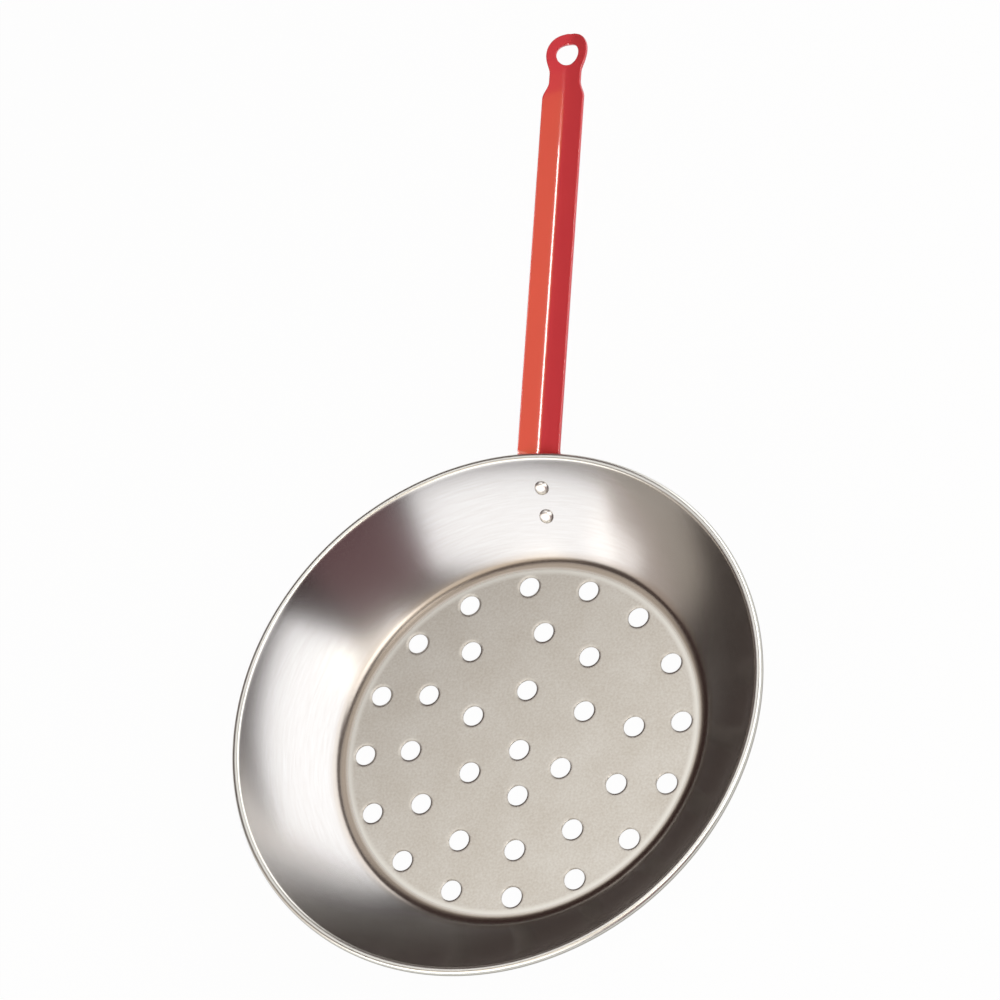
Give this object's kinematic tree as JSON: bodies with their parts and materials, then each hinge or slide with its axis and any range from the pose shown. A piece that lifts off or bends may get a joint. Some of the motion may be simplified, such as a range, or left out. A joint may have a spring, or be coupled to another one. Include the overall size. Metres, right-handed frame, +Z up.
{
  "type": "chestnut roaster",
  "caption": "Shallow steel pan with flared wall, rolled rim and perforated base for roasting chestnuts over a flame, with a long riveted strip handle ending in a hanging eye.",
  "frame": {"origin": "centre of the base's underside, on which the pan stands", "axes": "+Z up out of the bowl, +Y along the handle towards the hanging eye, X across the pan"},
  "size_m": [0.2788, 0.4983, 0.0957],
  "materials": {
    "pan_steel": "satin, with fine turning marks round the wall",
    "red_paint": "glossy red paint",
    "rivet_steel": "bright, lightly worn"
  },
  "bodies": {
    "root": {"pan_body": "pan_steel", "handle": "red_paint", "upper_rivet": "rivet_steel", "lower_rivet": "rivet_steel"}
  },
  "joints": []
}
